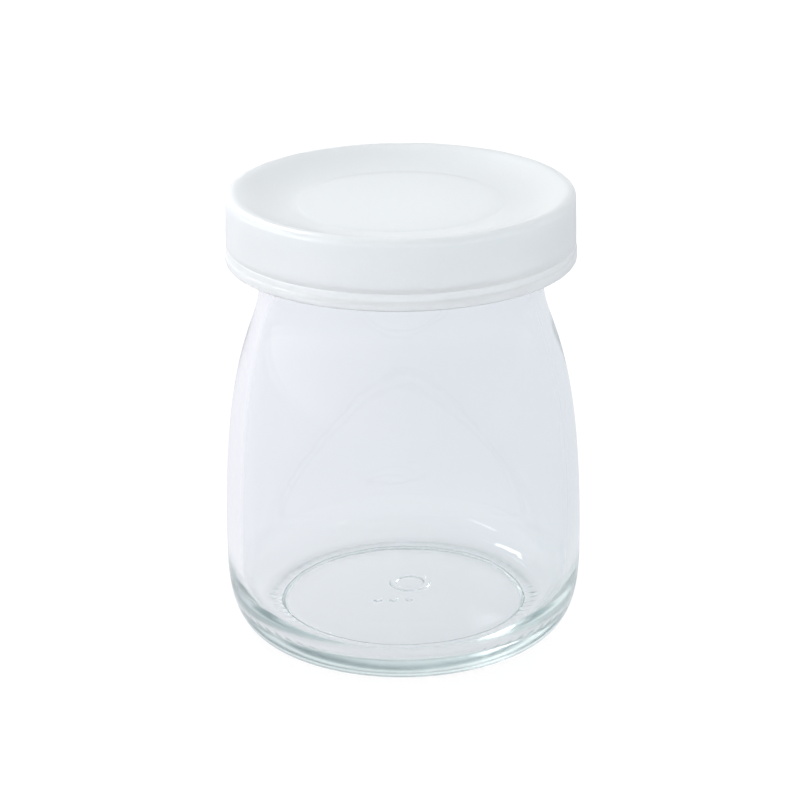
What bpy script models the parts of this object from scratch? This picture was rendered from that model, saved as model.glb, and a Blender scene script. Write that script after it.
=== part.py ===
# Small glass pudding jar with a plastic lid that grips its rim.
# Metres, +Z up. The origin is the middle of the bearing ring, on the surface the jar stands on.
# Both pieces are turned shapes: a profile in the XZ plane, spun once round Z.

import math

import bmesh
import bpy
from mathutils import Matrix, Vector

# Glass body
BODY_RADIUS = 0.0295
BEARING_OUTER = 0.0234
BEARING_INNER = 0.0212
HEEL_HEIGHT = 0.0123
HEEL_REACH_OUT = 0.00525
HEEL_REACH_DOWN = 0.00575
SHOULDER_REACH_LOW = 0.0373
SHOULDER_REACH_HIGH = 0.00745
NECK_RADIUS = 0.0230
NECK_START = 0.0586
WALL = 0.0023

# Floor of the jar, pushed up inside the bearing ring
PUSH_UP = 0.0008
PUSH_UP_CENTRE = 0.0012
PUSH_UP_STEP = 0.0004
PUSH_UP_BEND = 0.0106
PUSH_UP_AT_BEND = 0.0011
FLOOR_TOP = 0.0034
FLOOR_CENTRE = 0.0038
FLOOR_RADIUS = 0.0195
FLOOR_BEND = 0.0117
FLOOR_AT_BEND = 0.0036
INNER_HEEL_REACH = 0.0058

# Finish: the thick ring round the mouth that the lid grips
GLASS_HEIGHT = 0.0718
FINISH_RADIUS = 0.0263
FINISH_BOTTOM = 0.0665
FINISH_CORNER = 0.0006
NECK_FILLET = 0.0009
LIP_ROUND = 0.0014
MOUTH_RADIUS = 0.0215
MOUTH_TAPER_START = 0.0640

# Short radial notches moulded in the bearing ring
NOTCH_COUNT = 60
NOTCH_WIDTH = 0.0007
NOTCH_DEPTH = 0.0003
NOTCH_MARGIN = 0.0004

# Lid
LID_TOP = 0.0744
LID_BOTTOM = 0.06325
LID_TOP_RADIUS = 0.0279
LID_BOTTOM_RADIUS = 0.0282
LID_ROUND = 0.0013
LID_EDGE_ROUND = 0.00035
LID_THICKNESS = 0.0010
LID_SKIRT = 0.00105
BAND_HEIGHT = 0.00145
BAND_STEP = 0.00012
DISH_DEPTH = 0.0022
DISH_RADIUS = 0.0165
DISH_REACH_OUT = 0.0012
DISH_REACH_IN = 0.0060
SNAP_RADIUS = 0.00115
SNAP_HEIGHT = 0.06515
LID_MOUTH_RADIUS = 0.0272

# Fineness of the spin
TURN_STEPS = 60
MERGE = 0.00001


def clear_scene():
    for obj in list(bpy.data.objects):
        bpy.data.objects.remove(obj, do_unlink=True)


def make_collection(name):
    collection = bpy.data.collections.new(name)
    bpy.context.scene.collection.children.link(collection)
    return collection


def make_material(name, colour, roughness, transmission, ior):
    material = bpy.data.materials.new(name)
    material.use_nodes = True
    shader = material.node_tree.nodes["Principled BSDF"]
    shader.inputs["Base Color"].default_value = (*colour, 1.0)
    shader.inputs["Roughness"].default_value = roughness
    shader.inputs["Metallic"].default_value = 0.0
    shader.inputs["Transmission Weight"].default_value = transmission
    shader.inputs["IOR"].default_value = ior
    material.diffuse_color = (*colour, 1.0)
    return material


def arc(centre, radius, start, end, steps):
    """Points on a circle from the angle start to the angle end, in degrees, both ends included."""
    points = []
    for i in range(steps + 1):
        angle = math.radians(start + (end - start) * i / steps)
        points.append((centre[0] + radius * math.cos(angle), centre[1] + radius * math.sin(angle)))
    return points


def curve(start, reach_start, reach_end, end, steps):
    """Points on the cubic curve between two ends, each with its control point."""
    points = []
    for i in range(steps + 1):
        t = i / steps
        weights = ((1 - t) ** 3, 3 * (1 - t) ** 2 * t, 3 * (1 - t) * t ** 2, t ** 3)
        controls = (start, reach_start, reach_end, end)
        x = sum(w * c[0] for w, c in zip(weights, controls))
        z = sum(w * c[1] for w, c in zip(weights, controls))
        points.append((x, z))
    return points


def without_doubles(points):
    """The points in order, without any that lies on the one before it."""
    kept = [points[0]]
    for point in points[1:]:
        if math.dist(point, kept[-1]) > MERGE:
            kept.append(point)
    return kept


def jar_inside():
    """From the middle of the floor out to the wall and up to the mouth."""
    inner_radius = BODY_RADIUS - WALL
    inner_neck = NECK_RADIUS - WALL
    floor = [(0.0, FLOOR_CENTRE), (FLOOR_BEND, FLOOR_AT_BEND)]
    heel = curve(
        (FLOOR_RADIUS, FLOOR_TOP),
        (FLOOR_RADIUS + INNER_HEEL_REACH, FLOOR_TOP),
        (inner_radius, HEEL_HEIGHT - INNER_HEEL_REACH),
        (inner_radius, HEEL_HEIGHT),
        6,
    )
    shoulder = curve(
        (inner_radius, HEEL_HEIGHT),
        (inner_radius, HEEL_HEIGHT + SHOULDER_REACH_LOW),
        (inner_neck, NECK_START - SHOULDER_REACH_HIGH),
        (inner_neck, NECK_START),
        8,
    )
    mouth = [(inner_neck, MOUTH_TAPER_START)]
    return floor + heel + shoulder + mouth


def jar_finish():
    """Over the rounded lip and down the outside of the finish to the neck."""
    lip_z = GLASS_HEIGHT - LIP_ROUND
    inner_lip = arc((MOUTH_RADIUS + LIP_ROUND, lip_z), LIP_ROUND, 180, 90, 3)
    outer_lip = arc((FINISH_RADIUS - LIP_ROUND, lip_z), LIP_ROUND, 90, 0, 3)
    corner_centre = (FINISH_RADIUS - FINISH_CORNER, FINISH_BOTTOM + FINISH_CORNER)
    corner = arc(corner_centre, FINISH_CORNER, 0, -90, 3)
    fillet_centre = (NECK_RADIUS + NECK_FILLET, FINISH_BOTTOM - NECK_FILLET)
    fillet = arc(fillet_centre, NECK_FILLET, 90, 180, 3)
    return inner_lip + outer_lip + corner + fillet


def jar_outside():
    """Down the shoulder, the body and the heel, then in under the pushed-up floor."""
    shoulder = curve(
        (NECK_RADIUS, NECK_START),
        (NECK_RADIUS, NECK_START - SHOULDER_REACH_HIGH),
        (BODY_RADIUS, HEEL_HEIGHT + SHOULDER_REACH_LOW),
        (BODY_RADIUS, HEEL_HEIGHT),
        9,
    )
    heel = curve(
        (BODY_RADIUS, HEEL_HEIGHT),
        (BODY_RADIUS, HEEL_HEIGHT - HEEL_REACH_DOWN),
        (BEARING_OUTER + HEEL_REACH_OUT, 0.0),
        (BEARING_OUTER, 0.0),
        7,
    )
    underside = [
        (BEARING_INNER, 0.0),
        (BEARING_INNER - PUSH_UP_STEP, PUSH_UP),
        (PUSH_UP_BEND, PUSH_UP_AT_BEND),
        (0.0, PUSH_UP_CENTRE),
    ]
    return shoulder + heel + underside


def dish(height, steps):
    """From the lid's rim down to its flat disc: steep at the rim, then ever flatter."""
    crest = LID_TOP_RADIUS - LID_ROUND
    disc = height - DISH_DEPTH
    return curve(
        (crest, height),
        (crest - DISH_REACH_OUT, height),
        (DISH_RADIUS + DISH_REACH_IN, disc),
        (DISH_RADIUS, disc),
        steps,
    )


def lid_profile():
    """From the middle of the top over the rim, down the skirt and back up inside."""
    crest = LID_TOP_RADIUS - LID_ROUND
    shoulder_z = LID_TOP - LID_ROUND
    top = [(0.0, LID_TOP - DISH_DEPTH)] + dish(LID_TOP, 6)[::-1]
    rim = arc((crest, shoulder_z), LID_ROUND, 90, 0, 5)
    band_z = LID_BOTTOM + BAND_HEIGHT
    band = [
        (LID_BOTTOM_RADIUS - BAND_STEP, band_z + BAND_STEP),
        (LID_BOTTOM_RADIUS, band_z),
    ]
    edge_z = LID_BOTTOM + LID_EDGE_ROUND
    outer_edge = arc((LID_BOTTOM_RADIUS - LID_EDGE_ROUND, edge_z), LID_EDGE_ROUND, 0, -90, 2)
    inner_edge = arc((LID_MOUTH_RADIUS + LID_EDGE_ROUND, edge_z), LID_EDGE_ROUND, -90, -180, 2)
    inner_radius = LID_TOP_RADIUS - LID_SKIRT
    snap_x = (inner_radius + LID_MOUTH_RADIUS) / 2
    snap = arc((snap_x, SNAP_HEIGHT), SNAP_RADIUS, 270, 90, 5)
    inner_round = inner_radius - crest
    corner_z = LID_TOP - LID_THICKNESS - inner_round
    inner_corner = arc((crest, corner_z), inner_round, 0, 90, 3)
    underside = dish(LID_TOP - LID_THICKNESS, 6)
    underside.append((0.0, LID_TOP - LID_THICKNESS - DISH_DEPTH))
    return top + rim + band + outer_edge + inner_edge + snap + inner_corner + underside


def turned(name, points, material, collection, parent):
    """A solid of revolution: the profile as a mesh line with a Screw modifier round Z."""
    points = without_doubles(points)
    mesh = bpy.data.meshes.new(name)
    line = bmesh.new()
    vertices = [line.verts.new((x, 0.0, z)) for x, z in points]
    for first, second in zip(vertices, vertices[1:]):
        line.edges.new((first, second))
    line.to_mesh(mesh)
    line.free()
    obj = bpy.data.objects.new(name, mesh)
    collection.objects.link(obj)
    obj.parent = parent
    mesh.materials.append(material)
    screw = obj.modifiers.new("Spin", "SCREW")
    screw.axis = "Z"
    screw.angle = math.tau
    screw.steps = TURN_STEPS
    screw.render_steps = TURN_STEPS
    screw.use_merge_vertices = True
    screw.merge_threshold = MERGE
    screw.use_smooth_shade = True
    return obj


def notch_cutter(collection, parent):
    """One small block for each notch, each centred under a flat facet of the ring."""
    mesh = bpy.data.meshes.new("bearing_notches")
    blocks = bmesh.new()
    inner = BEARING_INNER + NOTCH_MARGIN
    outer = BEARING_OUTER - NOTCH_MARGIN
    size = Vector((outer - inner, NOTCH_WIDTH, NOTCH_DEPTH * 2))
    for i in range(NOTCH_COUNT):
        turn = Matrix.Rotation(math.tau * (i + 0.5) / NOTCH_COUNT, 3, "Z")
        block = bmesh.ops.create_cube(blocks, size=1.0)["verts"]
        bmesh.ops.scale(blocks, vec=size, verts=block)
        bmesh.ops.translate(blocks, vec=((inner + outer) / 2, 0.0, 0.0), verts=block)
        bmesh.ops.rotate(blocks, cent=(0.0, 0.0, 0.0), matrix=turn, verts=block)
    blocks.to_mesh(mesh)
    blocks.free()
    cutter = bpy.data.objects.new("bearing_notches", mesh)
    collection.objects.link(cutter)
    cutter.parent = parent
    cutter.hide_render = True
    cutter.display_type = "WIRE"
    return cutter


def build_jar(parts, cutters, root):
    glass = make_material("clear_glass", (0.93, 0.96, 0.96), 0.02, 1.0, 1.52)
    profile = jar_inside() + jar_finish() + jar_outside()
    jar = turned("glass_jar", profile, glass, parts, root)
    cut = jar.modifiers.new("Bearing notches", "BOOLEAN")
    cut.operation = "DIFFERENCE"
    cut.solver = "EXACT"
    cut.object = notch_cutter(cutters, root)
    return jar


def build_lid(parts, root):
    plastic = make_material("frosted_plastic", (0.90, 0.93, 0.94), 0.45, 0.5, 1.51)
    return turned("lid", lid_profile(), plastic, parts, root)


def main():
    clear_scene()
    parts = make_collection("pudding_jar")
    cutters = make_collection("pudding_jar_cutters")
    root = bpy.data.objects.new("pudding_jar_root", None)
    root.empty_display_size = BODY_RADIUS
    parts.objects.link(root)
    build_jar(parts, cutters, root)
    build_lid(parts, root)


main()
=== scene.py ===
import math

import bmesh
import bpy
from mathutils import Euler, Matrix, Vector, noise


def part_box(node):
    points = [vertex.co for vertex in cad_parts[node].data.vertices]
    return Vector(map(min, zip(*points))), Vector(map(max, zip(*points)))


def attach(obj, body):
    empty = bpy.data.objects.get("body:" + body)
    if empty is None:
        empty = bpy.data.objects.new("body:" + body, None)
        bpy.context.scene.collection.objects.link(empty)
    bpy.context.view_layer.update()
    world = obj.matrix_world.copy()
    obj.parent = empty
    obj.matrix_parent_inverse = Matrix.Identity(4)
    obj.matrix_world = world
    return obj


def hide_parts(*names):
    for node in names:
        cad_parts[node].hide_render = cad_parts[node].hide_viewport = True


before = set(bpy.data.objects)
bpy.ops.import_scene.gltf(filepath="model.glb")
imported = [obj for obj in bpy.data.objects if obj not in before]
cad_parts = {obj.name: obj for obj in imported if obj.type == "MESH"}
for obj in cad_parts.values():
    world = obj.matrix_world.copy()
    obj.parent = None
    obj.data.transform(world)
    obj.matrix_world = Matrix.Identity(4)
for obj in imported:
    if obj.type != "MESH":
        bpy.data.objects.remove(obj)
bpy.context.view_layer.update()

glassLow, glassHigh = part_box("glass_jar")
lidLow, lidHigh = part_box("lid")
mm = 0.001
samePoint = 0.001 * mm               # profile points closer than this are one
onAxis = 0.0001 * mm                 # a profile point closer to the axis than this is on it


# One socket of a shader, so that sums and products are written as they read
class Wire:
    def __init__(self, tree, link=None):
        self.tree = tree
        self.link = link

    # Any node: its type, its settings, then the values or links of its sockets
    def node(self, kind, settings=None, sockets=None, out=0):
        made = self.tree.nodes.new(kind)
        for name, value in (settings or {}).items():
            if name == "stops":
                self.setStops(made.color_ramp, value)
            else:
                setattr(made, name, value)
        for name, value in (sockets or {}).items():
            if isinstance(value, Wire):
                self.tree.links.new(value.link, made.inputs[name])
            else:
                made.inputs[name].default_value = value
        return Wire(self.tree, made.outputs[out] if len(made.outputs) else None)

    def setStops(self, ramp, stops):
        while len(ramp.elements) < len(stops):
            ramp.elements.new(1.0)
        for element, (place, shade) in zip(ramp.elements, stops):
            element.position = place
            element.color = shade

    def math(self, operation, first, second):
        return self.node("ShaderNodeMath", {"operation": operation}, {0: first, 1: second})

    def __add__(self, other):
        return self.math("ADD", self, other)

    __radd__ = __add__

    def __sub__(self, other):
        return self.math("SUBTRACT", self, other)

    def __rsub__(self, other):
        return self.math("SUBTRACT", other, self)

    def __mul__(self, other):
        return self.math("MULTIPLY", self, other)

    __rmul__ = __mul__


def newMaterial(name):
    material = bpy.data.materials.new(name)
    material.use_nodes = True
    material.node_tree.nodes.clear()
    return material, Wire(material.node_tree)


def blendColours(graph, amount, low, high):
    settings = {"data_type": "RGBA", "blend_type": "MIX"}
    return graph.node("ShaderNodeMix", settings, {0: amount, 6: low, 7: high}, out=2)


def noiseField(graph, scale, detail):
    place = graph.node("ShaderNodeTexCoord", out="Object")
    sockets = {"Vector": place, "Scale": scale, "Detail": detail, "Roughness": 0.5}
    return graph.node("ShaderNodeTexNoise", None, sockets, out="Fac")


# One coordinate of a point
def along(graph, place, axis):
    return graph.node("ShaderNodeSeparateXYZ", None, {"Vector": place}, out=axis)


# How far a point is from the origin
def distance(graph, place):
    settings = {"operation": "LENGTH"}
    return graph.node("ShaderNodeVectorMath", settings, {0: place}, out="Value")


# From 0 to 1 with soft ends, as the value goes from one limit to the other
def softRamp(graph, value, zeroAt, oneAt):
    settings = {"interpolation_type": "SMOOTHSTEP"}
    sockets = {"Value": value, "From Min": zeroAt, "From Max": oneAt}
    return graph.node("ShaderNodeMapRange", settings, sockets)


# Points on a circle, angles in degrees
def arc(centreX, centreZ, radius, start, end, steps):
    points = []
    for i in range(steps + 1):
        angle = math.radians(start + (end - start) * i / steps)
        points.append((centreX + radius * math.cos(angle), centreZ + radius * math.sin(angle)))
    return points


# Points on a cubic curve between two ends
def curve(start, reachStart, reachEnd, end, steps):
    points = []
    for i in range(steps + 1):
        t = i / steps
        weights = ((1 - t) ** 3, 3 * (1 - t) ** 2 * t, 3 * (1 - t) * t ** 2, t ** 3)
        controls = (start, reachStart, reachEnd, end)
        points.append(tuple(sum(w * c[k] for w, c in zip(weights, controls)) for k in (0, 1)))
    return points


# Points on a straight line
def line(start, end, steps):
    return [
        (start[0] + (end[0] - start[0]) * i / steps, start[1] + (end[1] - start[1]) * i / steps)
        for i in range(steps + 1)
    ]


def smoothStep(low, high, value):
    t = min(max((value - low) / (high - low), 0.0), 1.0)
    return t * t * (3 - 2 * t)


def joined(*stretches):
    points = []
    for stretch in stretches:
        for point in stretch:
            if not points or math.dist(point, points[-1]) > samePoint:
                points.append(point)
    return points


# A closed turned mesh: the profile starts and ends on the axis, and place moves each point
def turnedMesh(name, profile, turns, place):
    mesh = bpy.data.meshes.new(name)
    work = bmesh.new()
    rings = []
    for number, (radius, height) in enumerate(profile):
        if radius < onAxis:
            rings.append([work.verts.new(place(number, 0.0, height, 0.0))])
            continue
        ring = []
        for turn in range(turns):
            angle = math.tau * turn / turns
            ring.append(work.verts.new(place(number, radius, height, angle)))
        rings.append(ring)
    for above, below in zip(rings, rings[1:]):
        for turn in range(turns):
            after = (turn + 1) % turns
            if len(above) == 1:
                work.faces.new((above[0], below[turn], below[after]))
            elif len(below) == 1:
                work.faces.new((above[turn], below[0], above[after]))
            else:
                work.faces.new((above[turn], below[turn], below[after], above[after]))
    bmesh.ops.recalc_face_normals(work, faces=work.faces)
    for face in work.faces:
        face.smooth = True
    work.to_mesh(mesh)
    work.free()
    obj = bpy.data.objects.new(name, mesh)
    bpy.context.scene.collection.objects.link(obj)
    return obj


jar = {
    "bodyRadius": glassHigh.x,
    "height": glassHigh.z,
    "wall": 2.3 * mm,
    "bearingOuter": 23.4 * mm,
    "bearingInner": 21.2 * mm,
    "heelHeight": 12.3 * mm,
    "heelReachOut": 5.25 * mm,
    "heelReachDown": 5.75 * mm,
    "shoulderReachLow": 37.3 * mm,
    "shoulderReachHigh": 7.45 * mm,
    "neckRadius": 23.0 * mm,
    "neckStart": 58.6 * mm,
    "pushUp": 0.8 * mm,
    "pushUpCentre": 1.2 * mm,
    "pushUpStep": 0.4 * mm,
    "pushUpStepReach": 0.7,      # how far along the step its curve reaches from below
    "pushUpBend": 10.6 * mm,
    "pushUpAtBend": 1.1 * mm,
    "floorTop": 3.4 * mm,
    "floorCentre": 3.8 * mm,
    "floorRadius": 19.5 * mm,
    "floorReaches": (0.5, 0.7),  # how far out the floor's curve reaches, as parts of its radius
    "innerHeelReach": 5.8 * mm,
    "finishRadius": 26.3 * mm,
    "finishBottom": 66.5 * mm,
    "finishCorner": 0.6 * mm,
    "neckFillet": 0.9 * mm,
    "lipRound": 1.4 * mm,
    "mouthRadius": 21.5 * mm,
    "mouthTaperStart": 64.0 * mm,
    "mouthTaperReach": 2.5 * mm,
    "notches": 60,
    "notchDepth": 0.12 * mm,
    "notchWidth": 0.8 * mm,
    "notchFlat": 0.25,           # half of its flat top, as a part of the width
    "notchFoot": 0.6,            # half of its foot, as a part of the width
    "notchWorn": 0.08,           # the part of the depth left at the back, where the ring is worn
    "wearFade": 6.0 * mm,
    "turns": 360,
    "waveDepth": 0.10 * mm,      # how uneven the blown inner wall is
    "waveSize": 14.0 * mm,
    "waveStretch": 0.3,          # under 1, the waves run up the wall
    "waveInner": 8.0 * mm,       # the waves fade towards the middle of the floor
    "waveFade": (56.0 * mm, 62.0 * mm),
    "markDepth": 0.16 * mm,      # the plain mould marks under the floor: a ring and a row of dots
    "markRing": 2.8 * mm,
    "markRingAt": (1.2 * mm, 5.4 * mm),
    "markDots": 3,
    "markDotsAt": (-4.2 * mm, -1.2 * mm),
    "markDotGap": 2.6 * mm,
    "markLine": 0.34 * mm,
}


# The profile from the middle of the floor, up inside, over the lip, down outside and in under
def jarProfile(j):
    innerRadius = j["bodyRadius"] - j["wall"]
    innerNeck = j["neckRadius"] - j["wall"]
    floorEdge = (j["floorRadius"], j["floorTop"])
    nearReach, farReach = j["floorReaches"]
    shoulderLow = j["heelHeight"] + j["shoulderReachLow"]
    shoulderHigh = j["neckStart"] - j["shoulderReachHigh"]
    inside = joined(
        curve((0.0, j["floorCentre"]), (j["floorRadius"] * nearReach, j["floorCentre"]),
              (j["floorRadius"] * farReach, j["floorTop"]), floorEdge, 20),
        curve(floorEdge, (j["floorRadius"] + j["innerHeelReach"], j["floorTop"]),
              (innerRadius, j["heelHeight"] - j["innerHeelReach"]),
              (innerRadius, j["heelHeight"]), 22),
        curve((innerRadius, j["heelHeight"]), (innerRadius, shoulderLow),
              (innerNeck, shoulderHigh), (innerNeck, j["neckStart"]), 34),
        line((innerNeck, j["neckStart"]), (innerNeck, j["mouthTaperStart"]), 3),
    )
    lipZ = j["height"] - j["lipRound"]
    reach = j["mouthTaperReach"]
    corner = j["finishCorner"]
    fillet = j["neckFillet"]
    rim = joined(
        curve((innerNeck, j["mouthTaperStart"]), (innerNeck, j["mouthTaperStart"] + reach),
              (j["mouthRadius"], lipZ - reach), (j["mouthRadius"], lipZ), 6),
        arc(j["mouthRadius"] + j["lipRound"], lipZ, j["lipRound"], 180, 90, 8),
        arc(j["finishRadius"] - j["lipRound"], lipZ, j["lipRound"], 90, 0, 8),
        arc(j["finishRadius"] - corner, j["finishBottom"] + corner, corner, 0, -90, 5),
        arc(j["neckRadius"] + fillet, j["finishBottom"] - fillet, fillet, 90, 180, 6),
    )
    outside = joined(
        line((j["neckRadius"], j["finishBottom"] - fillet), (j["neckRadius"], j["neckStart"]), 4),
        curve((j["neckRadius"], j["neckStart"]), (j["neckRadius"], shoulderHigh),
              (j["bodyRadius"], shoulderLow), (j["bodyRadius"], j["heelHeight"]), 40),
        curve((j["bodyRadius"], j["heelHeight"]),
              (j["bodyRadius"], j["heelHeight"] - j["heelReachDown"]),
              (j["bearingOuter"] + j["heelReachOut"], 0.0), (j["bearingOuter"], 0.0), 26),
    )
    step = j["pushUpStep"]
    stepTop = (j["bearingInner"] - step, j["pushUp"])
    stepReach = j["pushUpStepReach"]
    underside = joined(
        line((j["bearingOuter"], 0.0), (j["bearingInner"], 0.0), 12),
        curve((j["bearingInner"], 0.0), (j["bearingInner"] - step * stepReach, 0.0),
              (stepTop[0] + step * (1 - stepReach), stepTop[1]), stepTop, 5),
        line(stepTop, (j["pushUpBend"], j["pushUpAtBend"]), 10),
        line((j["pushUpBend"], j["pushUpAtBend"]), (0.0, j["pushUpCentre"]), 46),
    )
    return inside, rim, outside, underside


# How far a point under the floor is inside the plain mould marks, from 0 to 1
def markHeight(j, x, y):
    ringX, ringY = j["markRingAt"]
    near = abs(math.hypot(x - ringX, y - ringY) - j["markRing"])
    dotX, dotY = j["markDotsAt"]
    for dot in range(j["markDots"]):
        near = min(near, math.hypot(x - dotX - dot * j["markDotGap"], y - dotY))
    return 1 - smoothStep(j["markLine"], 2 * j["markLine"], near)


def makeJar(j):
    inside, rim, outside, underside = jarProfile(j)
    profile = joined(inside, rim, outside, underside)
    lastInside = len(inside) - 1
    firstUnder = len(profile) - len(underside) + 1
    pitch = math.tau / j["notches"]
    flat = j["notchWidth"] * j["notchFlat"]
    foot = j["notchWidth"] * j["notchFoot"]

    # The inner wall gets its waves, the bearing ring its notches and the floor its marks
    def place(number, radius, height, angle):
        x = radius * math.cos(angle)
        y = radius * math.sin(angle)
        if number <= lastInside:
            fade = smoothStep(0.0, j["waveInner"], radius) * (1 - smoothStep(*j["waveFade"], height))
            wave = noise.noise(Vector((x, y, height * j["waveStretch"])) / j["waveSize"])
            radius = radius + j["waveDepth"] * wave * fade
            x = radius * math.cos(angle)
            y = radius * math.sin(angle)
        elif height < j["notchDepth"]:
            across = abs((angle % pitch) - pitch / 2) * radius
            inNotch = 1 - smoothStep(flat, foot, across)
            worn = 1 - (1 - j["notchWorn"]) * smoothStep(0.0, j["wearFade"], y)
            height = max(height, j["notchDepth"] * worn * inNotch)
        elif number >= firstUnder and radius < j["pushUpBend"]:
            height -= j["markDepth"] * markHeight(j, x, y)
        return (x, y, height)

    return turnedMesh("clear_jar", profile, j["turns"], place)


def glassMaterial():
    look = {
        "tint": (0.97, 0.98, 0.985, 1.0),
        "ior": 1.52,
        "smooth": 0.008,
        "smeared": 0.04,
        "smearSize": 45.0,
        "smearRange": (0.5, 0.8),    # the part of the noise that shows as smears
        "scuffed": 0.20,             # the heel, where it has slid on shelves
        "scuffTop": 5.5 * mm,
        "scuffFull": 1.0 * mm,
        "scuffFrom": 20.5 * mm,
        "scuffFade": 1.5 * mm,
        "moulded": 0.09,             # the underside, matt from its mould
        "mouldedTop": 2.2 * mm,
        "mouldedFull": 1.6 * mm,
        "inGlass": (0.45, 0.75, 0.74, 1.0),
        "density": 6.0,
        "ripple": 0.02,
        "rippleSize": 130.0,
        "rippleDepth": 1.0 * mm,
    }
    material, graph = newMaterial("clearGlass")
    smearLow, smearHigh = look["smearRange"]
    smear = noiseField(graph, look["smearSize"], 3.0)
    smear = graph.node("ShaderNodeMapRange", None, {
        "Value": smear, "From Min": smearLow, "From Max": smearHigh,
    })
    place = graph.node("ShaderNodeTexCoord", out="Object")
    height = along(graph, place, "Z")
    low = softRamp(graph, height, look["scuffTop"], look["scuffFull"])
    scuffEnd = look["scuffFrom"] + look["scuffFade"]
    outer = softRamp(graph, distance(graph, place), look["scuffFrom"], scuffEnd)
    under = softRamp(graph, height, look["mouldedTop"], look["mouldedFull"])
    worn = graph.math("MAXIMUM", low * outer * look["scuffed"], under * look["moulded"])
    roughness = look["smooth"] + smear * (look["smeared"] - look["smooth"]) + worn
    ripple = noiseField(graph, look["rippleSize"], 2.0)
    bump = {"Height": ripple, "Strength": look["ripple"], "Distance": look["rippleDepth"]}
    normal = graph.node("ShaderNodeBump", None, bump)
    surface = graph.node("ShaderNodeBsdfPrincipled", None, {
        "Base Color": look["tint"],
        "Roughness": roughness,
        "IOR": look["ior"],
        "Transmission Weight": 1.0,
        "Normal": normal,
    })
    absorption = {"Color": look["inGlass"], "Density": look["density"]}
    inside = graph.node("ShaderNodeVolumeAbsorption", None, absorption)
    graph.node("ShaderNodeOutputMaterial", None, {"Surface": surface, "Volume": inside})
    return material


lid = {
    "top": lidHigh.z,
    "bottom": lidLow.z,
    "bottomRadius": lidHigh.x,
    "topRadius": 27.9 * mm,
    "round": 1.3 * mm,
    "edgeRound": 0.35 * mm,
    "thickness": 1.0 * mm,
    "skirt": 1.05 * mm,
    "bandHeight": 1.45 * mm,
    "bandStep": 0.12 * mm,
    "skirtDraft": 0.036 * mm,    # how much further in the skirt is at its groove than at the band
    "grooveHeight": 2.75 * mm,
    "grooveDepth": 0.06 * mm,
    "discRise": 0.07 * mm,
    "dishDepth": 2.2 * mm,
    "dishRadius": 16.5 * mm,
    "dishReachOut": 1.2 * mm,
    "dishReachIn": 6.0 * mm,
    "snapRadius": 1.15 * mm,
    "snapHeight": 65.15 * mm,
    "mouthRadius": 27.2 * mm,
    "turns": 288,
    "warp": 0.05 * mm,           # how uneven the disc is
    "warpSize": 16.0 * mm,
    "warpSlice": 7.0 * mm,       # which slice of the noise it follows
}


# From the rim down to the flat disc: steep at the rim, then ever flatter
def dish(l, height, steps):
    crest = l["topRadius"] - l["round"]
    disc = height - l["dishDepth"]
    return curve((crest, height), (crest - l["dishReachOut"], height),
                 (l["dishRadius"] + l["dishReachIn"], disc), (l["dishRadius"], disc), steps)


# The profile from the middle of the disc, out over the rim, down the skirt and back inside
def lidProfile(l):
    crest = l["topRadius"] - l["round"]
    bandZ = l["bottom"] + l["bandHeight"]
    bandTop = (l["bottomRadius"] - l["bandStep"], bandZ + l["bandStep"])
    grooveZ = l["bottom"] + l["grooveHeight"]
    groove = 2 * l["grooveDepth"]
    grooveTop = (bandTop[0] - l["skirtDraft"], grooveZ + groove)
    edgeZ = l["bottom"] + l["edgeRound"]
    innerRadius = l["topRadius"] - l["skirt"]
    innerRound = innerRadius - crest
    snapX = (innerRadius + l["mouthRadius"]) / 2
    snapTop = (snapX, l["snapHeight"] + l["snapRadius"])
    cornerZ = l["top"] - l["thickness"] - innerRound
    rise = l["discRise"]
    discEdge = (l["dishRadius"], l["top"] - l["dishDepth"])
    under = discEdge[1] - l["thickness"]
    return joined(
        line((0.0, discEdge[1] + rise), (discEdge[0] - 4 * rise, discEdge[1] + rise), 10),
        line((discEdge[0] - 2 * rise, discEdge[1] + rise * 0.6), discEdge, 2),
        dish(l, l["top"], 16)[::-1],
        arc(crest, l["top"] - l["round"], l["round"], 90, 0, 14),
        line((l["topRadius"], l["top"] - l["round"]), grooveTop, 10),
        line(grooveTop, (grooveTop[0] - l["grooveDepth"], grooveZ), 2),
        line((grooveTop[0] - l["grooveDepth"], grooveZ), (grooveTop[0], grooveZ - groove), 2),
        line((grooveTop[0], grooveZ - groove), bandTop, 4),
        line(bandTop, (l["bottomRadius"], bandZ), 2),
        line((l["bottomRadius"], bandZ), (l["bottomRadius"], edgeZ), 2),
        arc(l["bottomRadius"] - l["edgeRound"], edgeZ, l["edgeRound"], 0, -90, 4),
        arc(l["mouthRadius"] + l["edgeRound"], edgeZ, l["edgeRound"], -90, -180, 4),
        arc(snapX, l["snapHeight"], l["snapRadius"], 270, 90, 12),
        line(snapTop, (innerRadius, cornerZ), 8),
        arc(crest, cornerZ, innerRound, 0, 90, 8),
        dish(l, l["top"] - l["thickness"], 16),
        line((l["dishRadius"], under), (0.0, under), 8),
    )


def makeLid(l):
    # The disc is a little uneven, above and below alike
    def place(number, radius, height, angle):
        x = radius * math.cos(angle)
        y = radius * math.sin(angle)
        if radius < l["dishRadius"]:
            height += l["warp"] * noise.noise(Vector((x, y, l["warpSlice"])) / l["warpSize"])
        return (x, y, height)

    return turnedMesh("frosted_lid", lidProfile(l), l["turns"], place)


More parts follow.
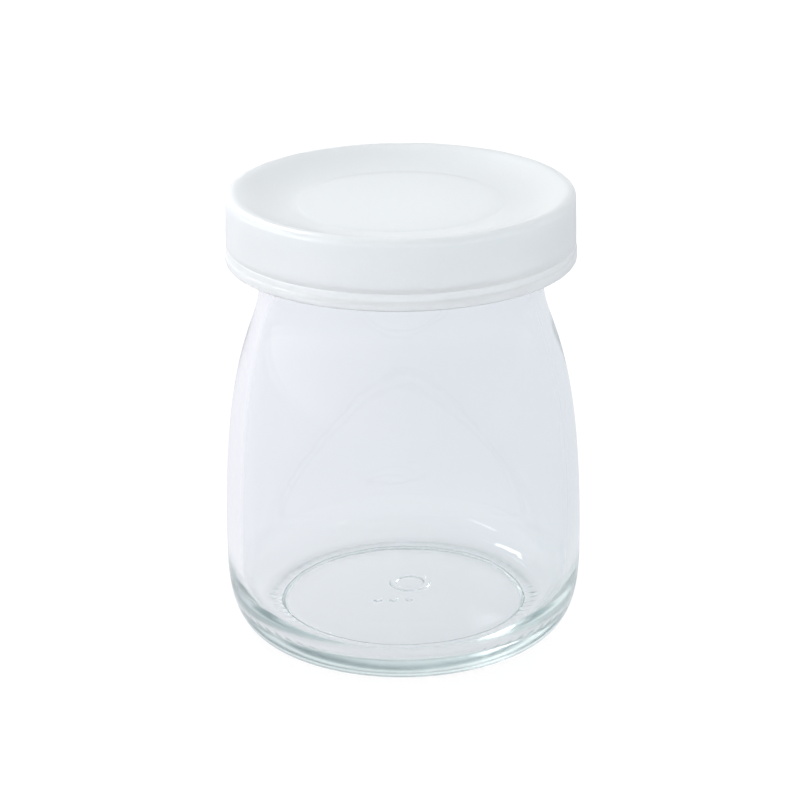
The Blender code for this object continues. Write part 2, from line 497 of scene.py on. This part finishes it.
def plasticMaterial():
    look = {
        "paleTone": (0.90, 0.925, 0.935, 1.0),
        "thick": (0.875, 0.905, 0.915, 1.0),
        "cloudSize": 60.0,
        "cloudShare": 0.5,           # how much of the change in colour is cloud
        "finishShadeShare": 0.5,            # and how much is painted shade: the skirt darker where the glass finish sits behind it, paler below
        "finishShadeHeight": 66.4 * mm,
        "finishShadeFade": 0.5 * mm,
        "roughness": 0.32,
        "mottled": 0.06,
        "ior": 1.51,
        "through": 0.44,
        "milkiness": 1.0,
        "scatter": 1.2 * mm,
        "grain": 0.08,
        "grainSize": 2600.0,
        "grainDepth": 0.2 * mm,
    }
    material, graph = newMaterial("frostedPlastic")
    cloud = noiseField(graph, look["cloudSize"], 3.0)
    place = graph.node("ShaderNodeTexCoord", out="Object")
    # Painted shade: the lid's colour is darker above the finish's bottom, where the glass finish
    # sits behind the skirt, and paler below it; the cloud is tone that differs at random
    finishShadeTop = look["finishShadeHeight"] + look["finishShadeFade"]
    belowFinishShade = softRamp(graph, along(graph, place, "Z"), finishShadeTop, look["finishShadeHeight"])
    paler = cloud * look["cloudShare"] + belowFinishShade * look["finishShadeShare"]
    colour = blendColours(graph, paler, look["thick"], look["paleTone"])
    roughness = look["roughness"] + (cloud - 0.5) * look["mottled"]
    grain = noiseField(graph, look["grainSize"], 2.0)
    bump = {"Height": grain, "Strength": look["grain"], "Distance": look["grainDepth"]}
    normal = graph.node("ShaderNodeBump", None, bump)
    surface = graph.node("ShaderNodeBsdfPrincipled", None, {
        "Base Color": colour,
        "Roughness": roughness,
        "IOR": look["ior"],
        "Transmission Weight": look["through"],
        "Subsurface Weight": look["milkiness"],
        "Subsurface Radius": (1.0, 1.0, 1.0),
        "Subsurface Scale": look["scatter"],
        "Normal": normal,
    })
    graph.node("ShaderNodeOutputMaterial", None, {"Surface": surface})
    return material


# A pale floor that glows: white where the camera sees it bare, a soft grey through the glass. Seen
# through the glass, its glow holds painted light: lighter at the left, where the light comes from,
# painted shade at the right, and a painted pool of light under the jar
def makeFloor():
    floor = {
        "size": 6.0,
        "sides": 96,
        "drop": 0.02 * mm,
        "colour": (0.08, 0.08, 0.08, 1.0),
        "glow": 0.92,
        "direct": (1.0, 1.0, 1.0, 1.0),
        "throughLitLeft": (0.778, 0.77, 0.828, 1.0),
        "throughShadedRight": (0.665, 0.692, 0.735, 1.0),
        "fade": 60 * mm,
        "paintedPoolColour": (0.96, 1.0, 0.98, 1.0),   # a painted pool of light: brighter glow under the jar's floor
        "paintedPoolShare": 0.23,
        "poolInner": 22 * mm,
        "poolOuter": 75 * mm,
        "roughness": 0.7,
        "speckle": 0.1,
        "speckSize": 900.0,
    }
    mesh = bpy.data.meshes.new("floor")
    work = bmesh.new()
    bmesh.ops.create_circle(work, cap_ends=True, segments=floor["sides"], radius=floor["size"])
    work.to_mesh(mesh)
    work.free()
    obj = bpy.data.objects.new("floor", mesh)
    obj.location.z = -floor["drop"]
    bpy.context.scene.collection.objects.link(obj)
    material, graph = newMaterial("paleFloor")
    speck = noiseField(graph, floor["speckSize"], 2.0)
    place = graph.node("ShaderNodeTexCoord", out="Object")
    # Painted shade: through the glass the glow is lighter at the left and darker at the right, as
    # the light falls from the left
    side = softRamp(graph, along(graph, place, "X"), -floor["fade"], floor["fade"])
    through = blendColours(graph, side, floor["throughLitLeft"], floor["throughShadedRight"])
    # Painted light: a pool of brighter, greener glow under the jar, seen through its floor
    below = softRamp(graph, distance(graph, place), floor["poolOuter"], floor["poolInner"])
    through = blendColours(graph, below * floor["paintedPoolShare"], through, floor["paintedPoolColour"])
    direct = graph.node("ShaderNodeLightPath", out="Is Camera Ray")
    surface = graph.node("ShaderNodeBsdfPrincipled", None, {
        "Base Color": floor["colour"],
        "Roughness": floor["roughness"] + (speck - 0.5) * floor["speckle"],
        "Emission Color": blendColours(graph, direct, through, floor["direct"]),
        "Emission Strength": floor["glow"],
    })
    graph.node("ShaderNodeOutputMaterial", None, {"Surface": surface})
    mesh.materials.append(material)


# A soft studio, brightest low down, at the left and at the back
def makeStudio():
    studio = {
        "bright": (1.22, 1.22, 1.22, 1.0),
        "dim": (0.56, 0.59, 0.62, 1.0),
        "level": 0.3,
        "dimmerUp": 0.7,
        "dimmerRight": 0.3,
        "brighterBack": 0.25,
    }
    world = bpy.data.worlds.new("studio")
    bpy.context.scene.world = world
    world.use_nodes = True
    world.node_tree.nodes.clear()
    graph = Wire(world.node_tree)
    place = graph.node("ShaderNodeTexCoord", out="Generated")
    height = along(graph, place, "Z")
    side = along(graph, place, "X")
    back = along(graph, place, "Y")
    shade = height * studio["dimmerUp"] + side * studio["dimmerRight"]
    shade = shade - back * studio["brighterBack"] + studio["level"]
    stops = [(0.0, studio["bright"]), (1.0, studio["dim"])]
    colour = graph.node("ShaderNodeValToRGB", {"stops": stops}, {"Fac": shade})
    light = graph.node("ShaderNodeBackground", None, {"Color": colour, "Strength": 1.0})
    graph.node("ShaderNodeOutputWorld", None, {"Surface": light})


# A softbox at a place, aimed at another. Mirrored, it shows in gloss and through glass.
# A grid keeps its light within an angle, in degrees.
def addSoftbox(name, place, aimedAt, width, height, power, mirrored, grid=180):
    data = bpy.data.lights.new(name, "AREA")
    data.shape = "RECTANGLE"
    data.size = width
    data.size_y = height
    data.energy = power
    data.spread = math.radians(grid)
    lamp = bpy.data.objects.new(name, data)
    lamp.visible_camera = False
    lamp.visible_glossy = mirrored
    lamp.visible_transmission = mirrored
    lamp.location = place
    aim = Vector(aimedAt) - Vector(place)
    lamp.rotation_euler = aim.to_track_quat("-Z", "Y").to_euler()
    bpy.context.scene.collection.objects.link(lamp)


def makeLights():
    middle = (0.0, 0.0, 35 * mm)
    softboxes = {
        "backLight": {
            "place": (-0.53, 0.66, 0.89), "aimedAt": middle,
            "width": 0.24, "height": 0.32, "power": 7.0, "mirrored": True,
        },
        "leftLight": {
            "place": (-1.20, -0.33, 0.50), "aimedAt": middle,
            "width": 0.5, "height": 0.6, "power": 3.4, "mirrored": False,
        },
        "rightLight": {
            "place": (1.25, -0.35, 0.35), "aimedAt": middle,
            "width": 0.5, "height": 0.6, "power": 4.4, "mirrored": False,
        },
        "frontLight": {
            "place": (0.36, -1.30, 0.68), "aimedAt": middle,
            "width": 1.2, "height": 0.8, "power": 8.6, "mirrored": False,
        },
        "rimLight": {                # a small one beside the lid, for the highlight on its rim
            "place": (-0.105, -0.038, 0.095), "aimedAt": (-20 * mm, -15 * mm, 73 * mm),
            "width": 0.085, "height": 0.018, "power": 0.0045, "mirrored": True, "grid": 56,
        },
    }
    for name, softbox in softboxes.items():
        addSoftbox(name, **softbox)


def makeCamera():
    view = {
        "distance": 376.7 * mm,
        "height": 185.3 * mm,
        "pitch": 21.335,
        "yaw": 0.058,
        "roll": -0.535,
        "focalPixels": 2462.2,
        "imagePixels": 800,
        "sensor": 36.0,
        "nearest": 10 * mm,
    }
    data = bpy.data.cameras.new("camera")
    data.sensor_width = view["sensor"]
    data.lens = data.sensor_width * view["focalPixels"] / view["imagePixels"]
    data.clip_start = view["nearest"]
    camera = bpy.data.objects.new("camera", data)
    tilt = Euler((math.radians(90 - view["pitch"]), 0.0, math.radians(view["yaw"]))).to_matrix()
    roll = Matrix.Rotation(math.radians(view["roll"]), 3, "Z")
    spot = Vector((0.0, -view["distance"], view["height"]))
    camera.matrix_world = Matrix.Translation(spot) @ (tilt @ roll).to_4x4()
    bpy.context.scene.collection.objects.link(camera)
    bpy.context.scene.camera = camera


# Light turns back many times inside the thick heel, so the glass gets many bounces
def setLook():
    bounces = {"most": 64, "glass": 48, "diffuse": 3}
    scene = bpy.context.scene
    scene.view_settings.view_transform = "Standard"
    scene.cycles.max_bounces = bounces["most"]
    scene.cycles.transmission_bounces = bounces["glass"]
    scene.cycles.glossy_bounces = bounces["glass"]
    scene.cycles.diffuse_bounces = bounces["diffuse"]


glassPiece = makeJar(jar)
glassPiece.data.materials.append(glassMaterial())
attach(glassPiece, "root")
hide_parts("glass_jar")
print("jar", len(glassPiece.data.polygons), "faces")

lidPiece = makeLid(lid)
lidPiece.data.materials.append(plasticMaterial())
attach(lidPiece, "root")
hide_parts("lid")
print("lid", len(lidPiece.data.polygons), "faces")

makeFloor()
makeStudio()
makeLights()
makeCamera()
setLook()
print("stage, lights and camera")
